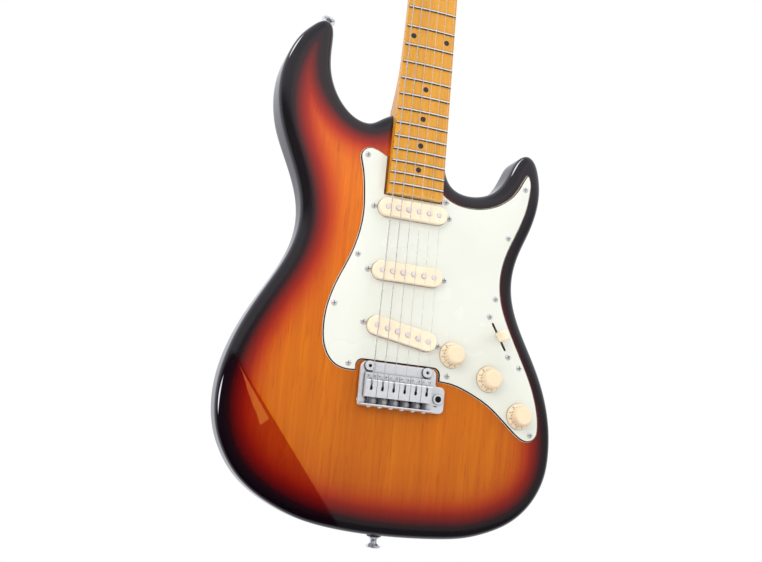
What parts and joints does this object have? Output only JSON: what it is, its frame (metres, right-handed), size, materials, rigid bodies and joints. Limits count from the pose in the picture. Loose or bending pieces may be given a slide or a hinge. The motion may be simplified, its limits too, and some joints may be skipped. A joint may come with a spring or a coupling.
{
  "type": "electric guitar",
  "caption": "Solid-body double-cutaway electric guitar with bolt-on maple neck, single-coil pickups, pickguard, rotary controls and a rocking tremolo bridge.",
  "frame": {"origin": "middle of the rim of the strap button at the end of the body, on the centreline and half way through the body thickness", "axes": "+Z along the neck towards the headstock, +X towards the treble side (right when seen from the front), +Y towards the back; the face looks along -Y"},
  "size_m": [0.3298, 0.0677, 1.0006],
  "materials": {
    "sunburst": "gloss lacquer, dark rim to amber centre",
    "maple": "satin",
    "walnut": "satin",
    "steel": "satin",
    "bone": "satin",
    "fretwire": "polished",
    "black_inlay": "gloss",
    "chrome": "polished",
    "guard_plastic": "gloss, three-ply",
    "cream_plastic": "semi-gloss",
    "coil_black": "matte",
    "pole_steel": "satin",
    "felt": "matte",
    "string_steel": "polished"
  },
  "bodies": {
    "instrument": {"body": "sunburst", "neck": "maple", "skunk_stripe": "walnut", "truss_rod": "steel", "switch_frame": "steel", "spring_claw": "steel", "potentiometers": "steel", "output_jack": "steel", "pickup_springs": "steel", "tremolo_springs": "steel", "nut": "bone", "frets": "fretwire", "fret_markers": "black_inlay", "string_trees": "chrome", "neck_plate": "chrome", "neck_screws": "chrome", "machine_screws": "chrome", "panel_nuts": "chrome", "jack_plate": "chrome", "strap_buttons": "chrome", "strap_and_claw_screws": "chrome", "small_screws": "chrome", "tremolo_studs": "chrome", "tuner_housings": "chrome", "tuner_bushings": "chrome", "pickguard": "guard_plastic", "back_cover": "guard_plastic", "pickup_cover_neck": "cream_plastic", "pickup_cover_middle": "cream_plastic", "pickup_cover_bridge": "cream_plastic", "pickup_coils": "coil_black", "pickup_poles": "pole_steel", "strap_felts": "felt", "strings": "string_steel"},
    "tremolo": {"tremolo_plate": "chrome", "saddles": "chrome", "saddle_height_screws": "chrome", "bridge_screws": "chrome", "intonation_springs": "steel", "tremolo_block": "steel"},
    "selector": {"switch_lever": "steel", "switch_tip": "cream_plastic"},
    "volume": {"knob_volume": "cream_plastic", "pot_shaft_volume": "pole_steel"},
    "tone_neck": {"knob_tone_neck": "cream_plastic", "pot_shaft_tone_neck": "pole_steel"},
    "tone_middle": {"knob_tone_middle": "cream_plastic", "pot_shaft_tone_middle": "pole_steel"},
    "peg_1": {"tuner_button_1": "chrome"},
    "post_1": {"tuner_post_1": "chrome"},
    "peg_2": {"tuner_button_2": "chrome"},
    "post_2": {"tuner_post_2": "chrome"},
    "peg_3": {"tuner_button_3": "chrome"},
    "post_3": {"tuner_post_3": "chrome"},
    "peg_4": {"tuner_button_4": "chrome"},
    "post_4": {"tuner_post_4": "chrome"},
    "peg_5": {"tuner_button_5": "chrome"},
    "post_5": {"tuner_post_5": "chrome"},
    "peg_6": {"tuner_button_6": "chrome"},
    "post_6": {"tuner_post_6": "chrome"}
  },
  "joints": [
    {"name": "tremolo", "type": "hinge", "parent": "instrument", "child": "tremolo", "pos_m": [0, -0.0263, 0.15987], "axis": [1, 0, 0], "range_deg": [-12, 3], "deforming": ["strings", "tremolo_springs"]},
    {"name": "selector", "type": "hinge", "parent": "instrument", "child": "selector", "pos_m": [0.10015, -0.00725, 0.2067], "axis": [0.8523, 0, 0.5231], "range_deg": [-22, 22]},
    {"name": "volume", "type": "hinge", "parent": "instrument", "child": "volume", "pos_m": [0.0528, -0.02225, 0.1827], "axis": [0, -1, 0], "range_deg": [0, 300]},
    {"name": "tone_neck", "type": "hinge", "parent": "instrument", "child": "tone_neck", "pos_m": [0.0925, -0.02225, 0.1643], "axis": [0, -1, 0], "range_deg": [0, 300]},
    {"name": "tone_middle", "type": "hinge", "parent": "instrument", "child": "tone_middle", "pos_m": [0.1266, -0.02225, 0.1324], "axis": [0, -1, 0], "range_deg": [0, 300]},
    {"name": "peg_6", "type": "hinge", "parent": "instrument", "child": "peg_6", "pos_m": [-0.0409, -0.00435, 0.853], "axis": [1, 0, 0], "continuous": true},
    {"name": "post_6", "type": "hinge", "parent": "instrument", "child": "post_6", "pos_m": [-0.0209, -0.02225, 0.846], "axis": [0, 1, 0], "continuous": true},
    {"name": "peg_5", "type": "hinge", "parent": "instrument", "child": "peg_5", "pos_m": [-0.0335, -0.00435, 0.8784], "axis": [1, 0, 0], "continuous": true},
    {"name": "post_5", "type": "hinge", "parent": "instrument", "child": "post_5", "pos_m": [-0.0135, -0.02225, 0.8714], "axis": [0, 1, 0], "continuous": true},
    {"name": "peg_4", "type": "hinge", "parent": "instrument", "child": "peg_4", "pos_m": [-0.0261, -0.00435, 0.9038], "axis": [1, 0, 0], "continuous": true},
    {"name": "post_4", "type": "hinge", "parent": "instrument", "child": "post_4", "pos_m": [-0.0061, -0.02225, 0.8968], "axis": [0, 1, 0], "continuous": true},
    {"name": "peg_3", "type": "hinge", "parent": "instrument", "child": "peg_3", "pos_m": [-0.0187, -0.00435, 0.9292], "axis": [1, 0, 0], "continuous": true},
    {"name": "post_3", "type": "hinge", "parent": "instrument", "child": "post_3", "pos_m": [0.0013, -0.02225, 0.9222], "axis": [0, 1, 0], "continuous": true},
    {"name": "peg_2", "type": "hinge", "parent": "instrument", "child": "peg_2", "pos_m": [-0.0113, -0.00435, 0.9546], "axis": [1, 0, 0], "continuous": true},
    {"name": "post_2", "type": "hinge", "parent": "instrument", "child": "post_2", "pos_m": [0.0087, -0.02225, 0.9476], "axis": [0, 1, 0], "continuous": true},
    {"name": "peg_1", "type": "hinge", "parent": "instrument", "child": "peg_1", "pos_m": [-0.0039, -0.00435, 0.98], "axis": [1, 0, 0], "continuous": true},
    {"name": "post_1", "type": "hinge", "parent": "instrument", "child": "post_1", "pos_m": [0.0161, -0.02225, 0.973], "axis": [0, 1, 0], "continuous": true}
  ],
  "couplings": [
    {"joint": "post_6", "follows": "peg_6", "ratio": -0.055556},
    {"joint": "post_5", "follows": "peg_5", "ratio": -0.055556},
    {"joint": "post_4", "follows": "peg_4", "ratio": -0.055556},
    {"joint": "post_3", "follows": "peg_3", "ratio": -0.055556},
    {"joint": "post_2", "follows": "peg_2", "ratio": -0.055556},
    {"joint": "post_1", "follows": "peg_1", "ratio": -0.055556}
  ]
}
